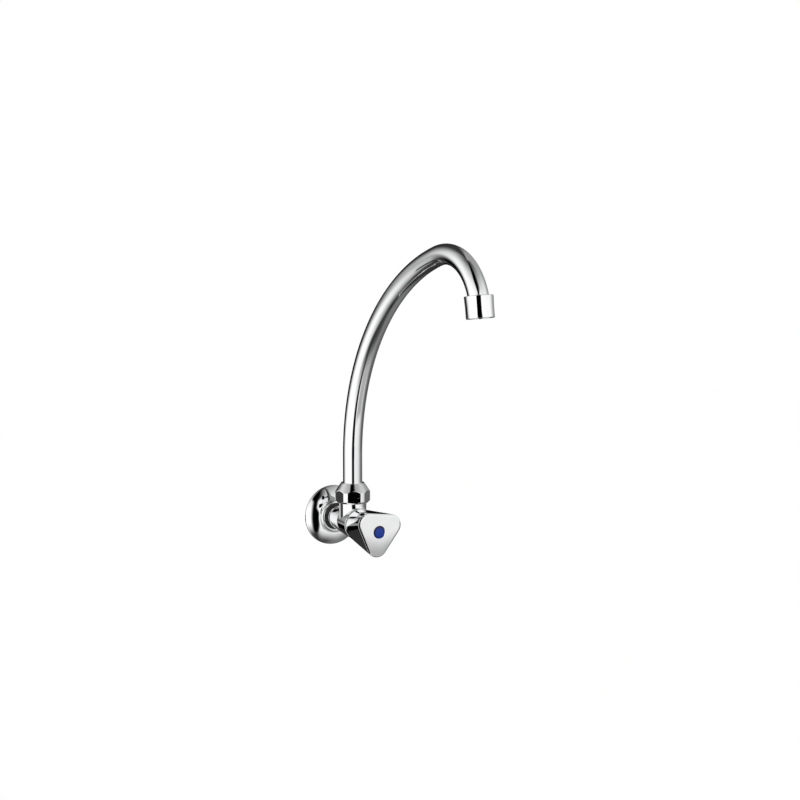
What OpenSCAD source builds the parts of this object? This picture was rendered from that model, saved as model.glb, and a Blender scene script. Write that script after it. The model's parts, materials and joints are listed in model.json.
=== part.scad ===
// Wall-mounted single cold-water tap with a tall swivel swan-neck spout.
// The origin is on the wall plane, on the axis of the inlet. +Y goes into the wall,
// -Y comes towards the user and +Z is up. All sizes are millimetres.
// Along the barrel a place is given as its distance out from the wall, named ..._s.

/* [Spout] */
// Outside diameter of the spout tube
tube_d = 18; // [16:0.5:20]
// Wall thickness of the spout tube
tube_wall = 1; // [0.8:0.1:1.3]
// Height at which the tube starts to bend forwards
rise_z = 63; // [50:1:90]
// Centreline radius of the long rising bend
rise_bend_r = 200; // [150:5:250]
// Angle turned by the long rising bend, in degrees
rise_bend_deg = 72.75; // [60:0.25:80]
// Centreline radius of the short bend at the tip
tip_bend_r = 48; // [40:1:70]
// Angle turned by the short bend at the tip, in degrees
tip_bend_deg = 99; // [85:1:110]
// Distance from the end of the tip bend to the outlet face
tip_len = 10.5; // [9.5:0.5:12]
// Turn of the spout to the right of straight out, in degrees
spout_turn = 5; // [-45:5:45]

/* [Body] */
// Distance from the wall to the spout's axis
spout_s = 44.6; // [40:0.2:60]
// Wall of the upright neck, measured at the spout socket
neck_wall = 3.2; // [2.6:0.1:4]
// Height of the neck's top face
neck_top_z = 31; // [29:0.5:36]
// Wall of the barrel at its front end, measured at the headwork thread
barrel_wall = 4.3; // [3:0.1:6]
// How far the barrel's front face stands in front of the neck
front_lip = 0.45; // [0.2:0.05:3]

/* [Inlet] */
// Outside diameter of the inlet thread (G 1/2)
inlet_thread_d = 20.955; // [16.662:0.001:26.441]
// Length of the inlet tail behind the wall plane
inlet_len = 16; // [12:0.5:25]
// Diameter of the waterway through the tail
inlet_bore_d = 13; // [9:0.5:13.5]

/* [Rosette] */
// Outside diameter of the wall rosette
rosette_d = 57; // [50:1:75]
// Height of the rosette in front of the wall
rosette_h = 10; // [8:0.5:12]
// Sheet thickness of the rosette
rosette_wall = 1; // [0.8:0.1:1.5]

/* [Union nut] */
// Wall of the nut between its thread and its flats
nut_wall = 1.9; // [1.5:0.1:3]
// Height of the nut's bottom face
nut_z = 19.25; // [18:0.25:21]
// Height of the cone on top of the nut
nut_cone_h = 8.2; // [6:0.05:9]
// Turn of the nut's front flat to the left, in degrees
nut_turn = 20.6; // [0:0.2:60]

/* [Handle] */
// Length of the handle from its back edge to its face
handle_len = 39.7; // [36:0.1:50]
// Distance from the axis to each of the three flat sides
handle_flat = 16.8; // [15.5:0.1:20]
// Radius of the three round corners
handle_corner_r = 10.2; // [6:0.2:12]
// Outside diameter of the handle's round back edge
handle_back_d = 29.8; // [28.5:0.1:33]
// Gap between the body and the back edge of the handle
handle_gap = 1.5; // [1:0.1:3]
// Turn of the handle clockwise from point down, in degrees
handle_turn = 7; // [0:1:60]
// Diameter of the index disc in the face
index_d = 11; // [9.8:0.1:13]

/* [Valve] */
// Distance from the spout's axis back to the valve seat
seat_back = 17.6; // [15:0.2:19]
// Diameter of the hole in the valve seat
seat_bore_d = 11; // [9:0.5:12]
// Diameter of the valve washer
washer_d = 15.6; // [15:0.1:17]
// Thickness of the valve washer
washer_t = 3; // [2:0.1:4]
// Pitch of the spindle's lifting thread
lift_pitch = 1.5; // [1:0.1:1.6]
// Turns of the handle from closed to fully open
lift_turns = 3; // [2:0.25:3]
// Diameter of the spindle's shaft
spindle_d = 10; // [9.6:0.1:10.6]
// Across flats of the square that carries the handle
square_w = 7; // [6:0.1:7.1]
// Across flats of the headwork's hexagon
headwork_flats = 20.8; // [19:0.1:21]

/* [Aerator] */
// Outside diameter of the aerator at its top
aerator_d = 24.9; // [24.8:0.1:28]
// Outside diameter of the aerator at its outlet
aerator_foot_d = 24.2; // [24.1:0.1:24.8]
// Length of the aerator
aerator_len = 19; // [18:0.5:24]

/* [Fits] */
// Radial clearance of a turning or sliding fit
running_fit = 0.05; // [0.02:0.01:0.08]
// Clearance between threads that are screwed together
thread_fit = 0.1; // [0.08:0.01:0.15]
// Play along the axis where a turning part is held
axial_play = 0.2; // [0.15:0.05:0.3]
// Squeeze of each O-ring on the bottom of its groove
ring_squeeze = 0.1; // [0.05:0.01:0.15]

/* [Hidden] */

$fn = 96;
over = 1;              // how far a cutting tool runs past the face that it opens
lap = 0.01;            // how far one cut runs into the next
groove_play = 0.1;     // room on each side of an O-ring in its groove
chrome = [0.86, 0.87, 0.89];
brass = [0.80, 0.62, 0.30];
rubber = [0.10, 0.10, 0.11];
nylon = [0.93, 0.92, 0.87];
steel = [0.68, 0.69, 0.71];
fibre = [0.22, 0.22, 0.22];
blue = [0.09, 0.17, 0.55];

// Spout tube and the tail that plugs it into the neck
tube_r = tube_d / 2;
tube_bore_r = tube_r - tube_wall;
tip_r = tube_r + 0.02; // the short bend is a hair thicker, so that the long one laps cleanly into it
lap_deg = 0.15;
tail_r = tube_r + 0.5;
tail_wall = 2;
tail_bore_r = tube_bore_r - tail_wall;
tail_waist_r = tube_bore_r - 0.4;
tail_grip = 9;         // how far the tail reaches up inside the tube
tail_lip = 1;          // thickness of the shoulder that the tube stands on
tail_chamfer = 0.6;
tail_ring_r = 1;       // section radius of the tail's O-rings
tail_ring_pitch = 4.8;

// Neck, socket and union nut
socket_r = tail_r + running_fit;
socket_len = 16.4;
socket_z = neck_top_z - socket_len;
neck_r = socket_r + neck_wall;
neck_bore_r = 5.8;
pipe_pitch = 1.814;
pipe_depth = 1;
neck_thread_r = neck_r + 0.35;
split_h = 4.5;
split_r = neck_r - 0.85;
split_z = neck_top_z + split_h;
nut_roof = 2.4;
nut_lip = 1;           // plain stretch below the nut's thread
nut_lip_play = 0.2;
nut_recess = 0.3;      // how far the ring's pocket runs below the neck's top
nut_top_z = split_z + nut_roof;
nut_af_r = neck_thread_r + nut_wall;
nut_r = nut_af_r + 1.25;
nut_hole_r = tube_r + 0.3;
nut_top_r = nut_hole_r + 1.55;
nut_chamfer = 2.05;
tail_end_z = socket_z + 0.6;
tail_neck_z = neck_top_z - axial_play;
tube_start_z = split_z + axial_play + tail_lip;

// Barrel, from the wall outwards
inlet_thread_r = inlet_thread_d / 2;
inlet_bore_r = inlet_bore_d / 2;
barrel_back_r = inlet_thread_r + 0.22;
relief_w = 1;
relief_r = inlet_thread_r - 1.2;
front_s = spout_s + neck_r + front_lip;
seat_s = spout_s - seat_back;
seat_bore_r = seat_bore_d / 2;
seat_lip = 1.7;
seat_rise = 1.5;
seat_web = 3;          // thickness of the wall that carries the seat
washer_r = washer_d / 2;
cup_wall = 1;
chamber_r = washer_r + cup_wall + 0.5;
headwork_thread_r = chamber_r + 1.1;
headwork_thread_len = 9.8;
thread_relief = 0.8;   // plain stretch between the headwork's thread and its flange
barrel_front_r = headwork_thread_r + barrel_wall;
barrel_straight_s = rosette_h + 1;

// Rosette: a bead round the hole, a gentle crown, a tighter shoulder and a short upright rim
rosette_r = rosette_d / 2;
rosette_rim = 0.9;
ring_w = 1.7;
ring_t = 1.8;
grip_len = 3.8;        // length of the collar that holds the ring
rosette_hole_r = barrel_back_r + ring_w;
bead_w = 2.8;
bead_flank = 0.6;
bead_h = 1.73;
bead_r = rosette_hole_r + bead_w;
crown_w = 2.8;
crown_deg = 8;         // slope of the crown at the bead
knee_deg = 16;         // slope where the crown turns into the shoulder
knee_r = bead_r + crown_w;
crown_bend_r = crown_w / (sin(knee_deg) - sin(crown_deg));
crown_bend_s = rosette_h - bead_h - crown_bend_r * cos(crown_deg);
knee_s = crown_bend_s + crown_bend_r * cos(knee_deg);
edge_deg = 2 * atan((knee_s - rosette_rim) / (rosette_r - knee_r)) - knee_deg;
shoulder_bend_r = (rosette_r - knee_r) / (sin(edge_deg) - sin(knee_deg));
shoulder_bend_s = knee_s - shoulder_bend_r * cos(knee_deg);

// Headwork, spindle and plunger
gasket_t = 1;
gasket_play = 0.2;
flange_r = headwork_flats / sqrt(3) + 0.19;
flange_t = 1.5;
hex_t = 5.7;
nose_len = 6;
nose_r = spindle_d / 2 + 3.5;
flange_s = front_s + gasket_t;
hex_s = flange_s + flange_t;
nose_s = hex_s + hex_t;
nose_end_s = nose_s + nose_len;
guide_s = front_s - headwork_thread_len;
guide_r = 7.5;
guide_flat = 6.5;
spindle_r = spindle_d / 2;
collar_r = guide_flat - 0.2;
collar_t = 2.2;
thrust_t = 0.8;
shoulder_s = nose_s - 2;
thrust_s = shoulder_s - axial_play - thrust_t;
collar_s = thrust_s - collar_t;
lift = lift_pitch * lift_turns;
closed_gap = 0.02;
washer_s = seat_s + closed_gap;
cup_s = washer_s + washer_t;
cup_depth = 1.5;
cup_t = 3.5;
plunger_floor = 6.5;
washer_screw_r = 1.6;
washer_screw_len = 5;
washer_head_r = 3.3;
washer_head_h = 1.2;
plunger_bore_s = cup_s + plunger_floor;
plunger_end_s = collar_s - lift - 1.3;
lift_thread_r = 4;
spindle_end_s = plunger_bore_s + lift + 0.5;
stem_ring_r = 0.8;
stem_ring_pitch = 3;
clip_t = 0.8;
clip_s = nose_end_s + 0.4;
clip_r = spindle_r + 1.6;
clip_groove_r = spindle_r - 0.6;
square_s = clip_s + clip_t + 0.8;
square_len = 10;
square_end_s = square_s + square_len;
square_r = square_w / sqrt(2);

// Handle
handle_back_r = handle_back_d / 2;
handle_s = front_s + handle_gap;
face_s = handle_s + handle_len;
bevel_h = 1.8;
bevel_in = 3.2;
corner_reach = 2 * (handle_flat - handle_corner_r);
handle_bore_r = flange_r + 0.4;
handle_wall = 9;
handle_roof_s = face_s - handle_wall;
hub_s = square_s + axial_play;
hub_r = 8;
screw_head_r = 4.25;
screw_head_h = 3.3;
screw_r = 2.1;
screw_len = 12;
screw_web = 2;         // thickness of the handle's web under the screw's head
screw_play = 0.3;
screw_seat_s = square_end_s + screw_web;
index_r = index_d / 2;
index_t = 4.4;
index_s = face_s - index_t;
index_dome = 0.5;
index_shell = 1.4;
corner_steps = 14;
shoulder_steps = 12;

// Aerator, from the outlet face upwards, and the ferrule brazed to the tube
tip_deg = rise_bend_deg + tip_bend_deg;
outlet_thread_r = tube_r + 2;
outlet_pitch = 1;
outlet_depth = 0.55;
ferrule_z = tip_len - 1.5;
ferrule_top_z = aerator_len - 0.3;
ferrule_land = 1;      // plain stretch above the ferrule's thread
outlet_bore_r = tube_bore_r - 0.4;
gasket_h = 1.6;
gasket_z = ferrule_z - gasket_h;
shell_lip = 1;
shell_lip_r = outlet_thread_r - 1.2;
shell_bore_r = outlet_thread_r - 0.3;
shell_foot_len = 9;
shell_edge = 0.6;
core_r = shell_bore_r - 0.1;
screen_t = 0.8;
core_z = shell_lip + screen_t;
core_wall = 1.1;
core_plate = 1.8;

// ---- helpers ----

// Turns +Z to -Y, so a height becomes a distance out from the wall
module out_from_wall() {
    rotate([90, 0, 0]) children();
}

// The upright axis of the neck, turned with the spout
module at_spout() {
    translate([0, -spout_s, 0]) rotate([0, 0, spout_turn]) children();
}

// A cylinder between two heights
module rod(r, from, to) {
    translate([0, 0, from]) cylinder(r = r, h = to - from);
}

// A ring between two heights
module washer_ring(r_out, r_in, from, to) {
    difference() {
        rod(r_out, from, to);
        rod(r_in, from - over, to + over);
    }
}

// A cone frustum between two heights
module taper(r_from, r_to, from, to) {
    translate([0, 0, from]) cylinder(r1 = r_from, r2 = r_to, h = to - from);
}

// A round ring of round section
module o_ring(r_in, section_r, z) {
    translate([0, 0, z]) rotate_extrude() translate([r_in + section_r, 0]) circle(section_r);
}

// A solid rod whose outside has the profile of a thread, as rings
module thread_rod(r, depth, pitch, from, to) {
    rings = floor((to - from) / pitch);
    crest = pitch / 4;
    rotate_extrude() polygon(concat(
        [[0, from]],
        [[r - depth, from]],
        [for (i = [0 : rings - 1], p = [[crest, 0], [2 * crest, depth], [3 * crest, depth],
            [4 * crest, 0]]) [r - depth + p[1], from + i * pitch + p[0]]],
        [[r - depth, to]],
        [[0, to]]));
}

// A hexagonal bar with a flat facing +X
module hex_bar(across_flats, from, to) {
    translate([0, 0, from]) rotate([0, 0, 30])
        cylinder(r = across_flats / sqrt(3), h = to - from, $fn = 6);
}

// A round bar with two flats that stop it from turning
module flatted_bar(r, flat, from, to) {
    intersection() {
        rod(r, from, to);
        translate([-flat, -2 * r, from]) cube([2 * flat, 4 * r, to - from]);
    }
}

// Outline of the handle, drawn in by a distance
function handle_outline(inset) = [
    for (k = [0 : 2], i = [0 : corner_steps])
        let (corner = 120 * k - 90, a = corner - 60 + 120 * i / corner_steps)
        [corner_reach * cos(corner) + (handle_corner_r - inset) * cos(a),
         corner_reach * sin(corner) + (handle_corner_r - inset) * sin(a)]
];

// ---- spout geometry, in the spout's own plane ----

rise_centre = [-rise_bend_r, rise_z];
tip_centre = rise_centre + (rise_bend_r - tip_bend_r) * [cos(rise_bend_deg), sin(rise_bend_deg)];
tip_end = tip_centre + tip_bend_r * [cos(tip_deg), sin(tip_deg)];

// A bend of the tube: it turns about a centre in the spout's plane
module bend(centre, bend_r, from_deg, turn_deg, r_out, r_in) {
    translate([0, centre[0], centre[1]]) rotate([90, 0, 90]) rotate([0, 0, from_deg])
        rotate_extrude(angle = turn_deg) translate([bend_r, 0]) difference() {
            circle(r_out);
            if (r_in > 0) circle(r_in);
        }
}

// The frame of the outlet: its face is at height 0 and the tube comes down on it
module at_outlet() {
    at_spout() translate([0, tip_end[0], tip_end[1]]) rotate([tip_deg - 180, 0, 0])
        translate([0, 0, -tip_len]) children();
}

// ---- fixed parts ----

// Cast body: threaded tail, tapered barrel with the valve seat, and upright neck
module tap_body() {
    color(chrome) difference() {
        union() {
            out_from_wall() {
                taper(inlet_thread_r - 1, inlet_thread_r, -inlet_len, 1 - inlet_len);
                rod(inlet_thread_r, 1 - inlet_len, -relief_w);
                rod(relief_r, -relief_w, relief_w);
                rod(barrel_back_r, relief_w, barrel_straight_s);
                taper(barrel_back_r, barrel_front_r, barrel_straight_s, front_s);
            }
            translate([0, -spout_s, 0]) {
                rod(neck_r, 0, nut_z + nut_lip);
                thread_rod(neck_thread_r, pipe_depth, pipe_pitch, nut_z + nut_lip, neck_top_z);
            }
        }
        out_from_wall() {
            rod(inlet_bore_r, -inlet_len - over, seat_s - seat_rise - seat_web);
            rod(seat_bore_r, seat_s - seat_rise - seat_web - over, seat_s + over);
            washer_ring(chamber_r, seat_bore_r + seat_lip, seat_s - seat_rise, seat_s + over);
            rod(chamber_r, seat_s, guide_s);
            thread_rod(headwork_thread_r + thread_fit, pipe_depth, pipe_pitch,
                guide_s - lap, front_s + over);
        }
        translate([0, -spout_s, 0]) {
            rod(neck_bore_r, 0, socket_z + over);
            rod(socket_r, socket_z, neck_top_z + over);
        }
    }
}

// The rosette's curve from the bead to the rim, at a depth below its outside
function rosette_curve(depth) = [
    for (a = [crown_deg : 2 : knee_deg])
        [bead_r + (crown_bend_r - depth) * sin(a) - crown_bend_r * sin(crown_deg),
         crown_bend_s + (crown_bend_r - depth) * cos(a)],
    for (i = [1 : shoulder_steps])
        let (a = knee_deg + (edge_deg - knee_deg) * i / shoulder_steps)
        [knee_r + (shoulder_bend_r - depth) * sin(a) - shoulder_bend_r * sin(knee_deg),
         shoulder_bend_s + (shoulder_bend_r - depth) * cos(a)]
];

// Domed cover plate that hides the hole in the wall
module wall_rosette() {
    inside = [for (p = rosette_curve(rosette_wall))
        if (p[1] > 0 && p[0] < rosette_r - rosette_wall) p];
    color(chrome) out_from_wall() rotate_extrude() polygon(concat(
        [[rosette_hole_r, rosette_h]],
        [[bead_r - bead_flank, rosette_h]],
        rosette_curve(0),
        [[rosette_r, 0]],
        [[rosette_r - rosette_wall, 0]],
        [for (i = [len(inside) - 1 : -1 : 0]) inside[i]],
        [[rosette_hole_r + rosette_wall, inside[0][1]]],
        [[rosette_hole_r + rosette_wall, rosette_h - grip_len]],
        [[rosette_hole_r, rosette_h - grip_len]]));
}

// Rubber ring that holds the rosette on the barrel
module rosette_ring() {
    color(rubber) out_from_wall()
        washer_ring(rosette_hole_r, barrel_back_r, rosette_h - ring_t, rosette_h);
}

// Fibre gasket between the body and the headwork
module headwork_gasket() {
    color(fibre) out_from_wall()
        washer_ring(flange_r, headwork_thread_r + gasket_play, front_s, flange_s);
}

// Brass housing of the headwork, screwed into the front of the body
module headwork_housing() {
    color(brass) out_from_wall() difference() {
        union() {
            thread_rod(headwork_thread_r, pipe_depth, pipe_pitch, guide_s, front_s - thread_relief);
            rod(headwork_thread_r - pipe_depth, front_s - thread_relief, flange_s);
            rod(flange_r, flange_s, hex_s);
            hex_bar(headwork_flats, hex_s - flange_t / 2, nose_s);
            rod(nose_r, hex_s, nose_end_s);
        }
        flatted_bar(guide_r + running_fit, guide_flat + running_fit, guide_s - over, collar_s);
        rod(collar_r + axial_play, collar_s - lap, shoulder_s);
        rod(spindle_r + running_fit, shoulder_s - lap, nose_end_s + over);
    }
}

// Nylon ring, split so that it snaps into the waist of the spout's tail
module split_ring() {
    slot_w = 3;
    color(nylon) translate([0, -spout_s, 0]) difference() {
        washer_ring(split_r, tail_waist_r + running_fit, neck_top_z, split_z);
        translate([-slot_w / 2, 0, neck_top_z - over]) cube([slot_w, 2 * split_r, split_h + 2 * over]);
    }
}

// Union nut: a cone over a round barrel with six flats
module spout_nut() {
    color(chrome) translate([0, -spout_s, 0]) difference() {
        intersection() {
            rotate([0, 0, 30 - nut_turn]) hex_bar(2 * nut_af_r, nut_z, nut_top_z);
            union() {
                taper(nut_r - nut_chamfer, nut_r, nut_z, nut_z + nut_chamfer);
                rod(nut_r, nut_z + nut_chamfer, nut_top_z - nut_cone_h);
                taper(nut_r, nut_top_r, nut_top_z - nut_cone_h, nut_top_z);
            }
        }
        rod(neck_r + nut_lip_play, nut_z - over, nut_z + nut_lip + lap);
        thread_rod(neck_thread_r + thread_fit, pipe_depth, pipe_pitch, nut_z + nut_lip, neck_top_z);
        rod(split_r + thread_fit, neck_top_z - nut_recess, split_z);
        rod(nut_hole_r, split_z - over, nut_top_z + over);
    }
}

// ---- turning parts of the valve ----

// Spindle: it turns in the housing and its thread lifts the plunger
module valve_spindle() {
    groove_r = spindle_r + running_fit - 2 * stem_ring_r - closed_gap + ring_squeeze;
    color(brass) out_from_wall() difference() {
        union() {
            rod(lift_thread_r, spindle_end_s, collar_s);
            rod(collar_r, collar_s, thrust_s);
            rod(spindle_r, thrust_s, square_s);
            rotate([0, 0, 45 - handle_turn])
                translate([0, 0, square_s]) cylinder(r = square_r, h = square_len, $fn = 4);
        }
        for (i = [0 : 1])
            washer_ring(spindle_r + over, groove_r, stem_ring_s(i) - stem_ring_r - groove_play,
                stem_ring_s(i) + stem_ring_r + groove_play);
        washer_ring(spindle_r + over, clip_groove_r, clip_s, clip_s + clip_t);
        rod(screw_r + running_fit, square_end_s - screw_len, square_end_s + over);
    }
}

// Slippery washer between the spindle's collar and the housing
module thrust_washer() {
    color(nylon) out_from_wall()
        washer_ring(collar_r, spindle_r, thrust_s, thrust_s + thrust_t);
}

function stem_ring_s(i) = nose_s + 1.6 + i * stem_ring_pitch;

// One of the two O-rings that seal the spindle
module spindle_o_ring(i) {
    color(rubber) out_from_wall()
        o_ring(spindle_r + running_fit - closed_gap - 2 * stem_ring_r, stem_ring_r, stem_ring_s(i));
}

// Spring-steel clip that keeps the spindle in the housing
module spindle_circlip() {
    mouth_w = 5;
    color(steel) out_from_wall() difference() {
        washer_ring(clip_r, clip_groove_r, clip_s, clip_s + clip_t);
        translate([-mouth_w / 2, 0, clip_s - over]) cube([mouth_w, 2 * clip_r, clip_t + 2 * over]);
    }
}

// Handle: three flat sides with round corners, drawn in to a round skirt at the back
module handle() {
    slice = 0.05;
    // depth below the face and inset of the outline, as shares of the bevel
    levels = [[1, 0], [0.5, 0.14], [0.2, 0.42], [0.05, 0.7], [0, 1]];
    color(chrome) out_from_wall() difference() {
        hull() {
            rod(handle_back_r, handle_s, handle_s + slice, $fn = 72);
            for (level = levels)
                translate([0, 0, face_s - slice - level[0] * bevel_h]) rotate([0, 0, -handle_turn])
                    linear_extrude(slice) polygon(handle_outline(level[1] * bevel_in));
        }
        washer_ring(handle_bore_r, hub_r, hub_s, handle_roof_s);
        rod(handle_bore_r, handle_s - over, hub_s + lap);
        rotate([0, 0, 45 - handle_turn]) translate([0, 0, hub_s - over])
            cylinder(r = square_r, h = square_end_s - hub_s + over, $fn = 4);
        rod(screw_r + screw_play, square_end_s - over, screw_seat_s + over);
        rod(screw_head_r + screw_play, screw_seat_s, index_s + lap);
        rod(index_r, index_s, face_s + over);
    }
}

// Screw that holds the handle on the spindle
module handle_screw() {
    slot_w = 1.2;
    slot_d = 1.4;
    color(steel) out_from_wall() difference() {
        union() {
            rod(screw_r, square_end_s - screw_len + over, screw_seat_s);
            rod(screw_head_r, screw_seat_s, screw_seat_s + screw_head_h);
        }
        translate([-screw_head_r - over, -slot_w / 2, screw_seat_s + screw_head_h - slot_d])
            cube([2 * (screw_head_r + over), slot_w, slot_d + over]);
    }
}

// Blue index disc, hollow behind and slightly domed in front
module index_cap() {
    dome_r = (pow(index_r, 2) + pow(index_dome, 2)) / (2 * index_dome);
    color(blue) out_from_wall() difference() {
        intersection() {
            rod(index_r, index_s, face_s + index_dome);
            translate([0, 0, face_s + index_dome - dome_r]) sphere(dome_r);
        }
        rod(index_r - index_shell / 2, index_s - over, face_s - index_shell);
    }
}

// ---- parts that slide to open the valve ----

// Plunger: two flats stop it from turning, and its cup holds the washer
module valve_plunger() {
    color(brass) out_from_wall() difference() {
        union() {
            rod(washer_r + cup_wall, cup_s - cup_depth, cup_s + cup_t);
            flatted_bar(guide_r, guide_flat, cup_s + cup_t, plunger_end_s);
        }
        rod(washer_r, cup_s - cup_depth - over, cup_s);
        rod(lift_thread_r + 2 * running_fit, plunger_bore_s, plunger_end_s + over);
        rod(washer_screw_r, cup_s - over, cup_s + washer_screw_len);
    }
}

// Rubber washer that closes on the seat
module valve_washer() {
    color(rubber) out_from_wall() washer_ring(washer_r, washer_screw_r, washer_s, cup_s);
}

// Small screw that holds the washer in its cup
module washer_screw() {
    color(steel) out_from_wall() {
        rod(washer_screw_r, washer_s, cup_s + washer_screw_len);
        rod(washer_head_r, washer_s - washer_head_h, washer_s);
    }
}

// ---- swivelling spout ----

// Brass tail brazed into the tube: it turns in the neck and the split ring holds it
module spout_tail() {
    groove_r = socket_r - closed_gap - 2 * tail_ring_r + ring_squeeze;
    color(brass) at_spout() difference() {
        union() {
            taper(tail_r - tail_chamfer, tail_r, tail_end_z, tail_end_z + tail_chamfer);
            rod(tail_r, tail_end_z + tail_chamfer, tail_neck_z);
            rod(tail_waist_r, tail_neck_z, tube_start_z - tail_lip);
            rod(tube_r, tube_start_z - tail_lip, tube_start_z);
            rod(tube_bore_r, tube_start_z, tube_start_z + tail_grip);
        }
        for (i = [0 : 1])
            washer_ring(tail_r + over, groove_r, tail_ring_z(i) - tail_ring_r - groove_play,
                tail_ring_z(i) + tail_ring_r + groove_play);
        rod(tail_bore_r, tail_end_z - over, tube_start_z + tail_grip + over);
    }
}

function tail_ring_z(i) = tail_end_z + 4 + i * tail_ring_pitch;

// One of the two O-rings that seal the tail in the neck
module tail_o_ring(i) {
    color(rubber) at_spout()
        o_ring(socket_r - closed_gap - 2 * tail_ring_r, tail_ring_r, tail_ring_z(i));
}

// Swan-neck tube: upright, then a long bend, then a short bend down to the outlet
module spout_tube() {
    color(chrome) at_spout() {
        washer_ring(tube_r, tube_bore_r, tube_start_z, rise_z);
        bend(rise_centre, rise_bend_r, 0, rise_bend_deg + lap_deg, tube_r, tube_bore_r);
        bend(tip_centre, tip_bend_r, rise_bend_deg, tip_bend_deg, tip_r, tip_r - tube_wall);
    }
}

// Threaded ferrule brazed round the end of the tube
module outlet_ferrule() {
    color(chrome) difference() {
        at_outlet() {
            thread_rod(outlet_thread_r, outlet_depth, outlet_pitch, ferrule_z,
                ferrule_top_z - ferrule_land);
            rod(outlet_thread_r, ferrule_top_z - ferrule_land, ferrule_top_z);
        }
        at_spout() bend(tip_centre, tip_bend_r, tip_deg - 25, 25, tip_r, 0);
        at_outlet() rod(outlet_bore_r, ferrule_z - over, tip_len + over);
    }
}

// Rubber gasket between the ferrule and the aerator insert
module aerator_gasket() {
    color(rubber) at_outlet() washer_ring(core_r, outlet_bore_r, gasket_z, ferrule_z);
}

// Plastic insert that splits the water into fine jets
module aerator_core() {
    jets = 12;
    jet_r = 0.7;
    jet_ring_r = 0.62 * core_r;
    color(nylon) at_outlet() difference() {
        rod(core_r, core_z, gasket_z);
        rod(core_r - core_wall, core_z - over, gasket_z - core_plate);
        for (i = [0 : jets - 1]) rotate([0, 0, i * 360 / jets])
            translate([jet_ring_r, 0, 0]) rod(jet_r, gasket_z - core_plate - over, gasket_z + over);
    }
}

// Stainless screen at the outlet
module aerator_screen() {
    hole_r = 0.8;
    hole_pitch = 2.5;
    rim = 1.6;
    rows = floor((core_r - rim) / hole_pitch);
    color(steel) at_outlet() difference() {
        rod(core_r, shell_lip, core_z);
        for (i = [-rows : rows], j = [-rows : rows])
            if (norm([i, j]) * hole_pitch < core_r - rim)
                translate([i * hole_pitch, j * hole_pitch, 0]) rod(hole_r, 0, core_z + over);
    }
}

// Chromed shell that screws on the ferrule and holds the insert
module aerator_shell() {
    foot_r = aerator_foot_d / 2;
    top_r = aerator_d / 2;
    color(chrome) at_outlet() difference() {
        union() {
            taper(foot_r - shell_edge, foot_r, 0, shell_edge);
            rod(foot_r, shell_edge, shell_foot_len);
            taper(foot_r, top_r, shell_foot_len, aerator_len - shell_edge);
            taper(top_r, top_r - shell_edge, aerator_len - shell_edge, aerator_len);
        }
        rod(shell_lip_r, -over, shell_lip + over);
        rod(shell_bore_r, shell_lip, ferrule_z + lap);
        thread_rod(outlet_thread_r + thread_fit, outlet_depth, outlet_pitch, ferrule_z,
            ferrule_top_z - ferrule_land);
        rod(outlet_thread_r + thread_fit, ferrule_top_z - ferrule_land - lap, aerator_len + over);
    }
}

tap_body();
wall_rosette();
rosette_ring();
headwork_gasket();
headwork_housing();
split_ring();
spout_nut();
valve_spindle();
thrust_washer();
spindle_o_ring(0);  // spindle_o_ring_1
spindle_o_ring(1);  // spindle_o_ring_2
spindle_circlip();
handle();
handle_screw();
index_cap();
valve_plunger();
valve_washer();
washer_screw();
spout_tail();
tail_o_ring(0);  // tail_o_ring_1
tail_o_ring(1);  // tail_o_ring_2
spout_tube();
outlet_ferrule();
aerator_gasket();
aerator_core();
aerator_screen();
aerator_shell();
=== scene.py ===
# %% [markdown]
# # A wall tap with a swan-neck spout
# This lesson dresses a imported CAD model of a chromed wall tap. The frame below holds every part at its
# real place, in metres: +Y goes into the wall, -Y comes towards the user, +Z is up. What shows is modelled
# again with fine rounds and smooth bends, because polished chrome gives away every facet. What is hidden
# inside stays as the frame has it and only gets a finish.

# %% Load the frame
import json
import math

import bmesh
import bpy
from mathutils import Matrix, Vector


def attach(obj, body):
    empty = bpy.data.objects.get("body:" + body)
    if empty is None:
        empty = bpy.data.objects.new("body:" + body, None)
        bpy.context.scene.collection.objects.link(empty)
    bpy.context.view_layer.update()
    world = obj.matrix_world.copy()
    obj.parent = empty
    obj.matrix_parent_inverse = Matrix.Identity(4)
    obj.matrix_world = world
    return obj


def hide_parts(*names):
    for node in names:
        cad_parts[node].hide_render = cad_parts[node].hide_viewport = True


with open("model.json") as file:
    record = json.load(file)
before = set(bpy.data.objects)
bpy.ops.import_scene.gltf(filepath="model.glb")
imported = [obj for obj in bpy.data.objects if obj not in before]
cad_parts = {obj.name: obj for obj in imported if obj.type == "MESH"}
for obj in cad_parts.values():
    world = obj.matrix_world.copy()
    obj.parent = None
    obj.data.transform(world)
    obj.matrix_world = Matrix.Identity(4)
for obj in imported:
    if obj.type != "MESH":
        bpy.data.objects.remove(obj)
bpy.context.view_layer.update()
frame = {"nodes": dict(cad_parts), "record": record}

# %% [markdown]
# ## The camera
# A long lens from about 1.7 m keeps the tap's shape free of distortion. The camera stands to the left of the
# tap and looks slightly down on it.

# %% Camera
SENSOR_WIDTH, LENS = 36, 80.915
CAMERA_TILT_DEG, CAMERA_PAN_DEG = 82.90, -27.93
camera_data = bpy.data.cameras.new("camera")
camera_data.sensor_width = SENSOR_WIDTH
camera_data.lens = LENS
camera = bpy.data.objects.new("camera", camera_data)
camera.location = (-0.7372, -1.5296, 0.3218)
camera.rotation_euler = (math.radians(CAMERA_TILT_DEG), 0, math.radians(CAMERA_PAN_DEG))
bpy.context.scene.collection.objects.link(camera)
bpy.context.scene.camera = camera
bpy.context.scene.view_settings.view_transform = "Standard"
print("camera at", tuple(camera.location), "lens", camera_data.lens)

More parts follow.
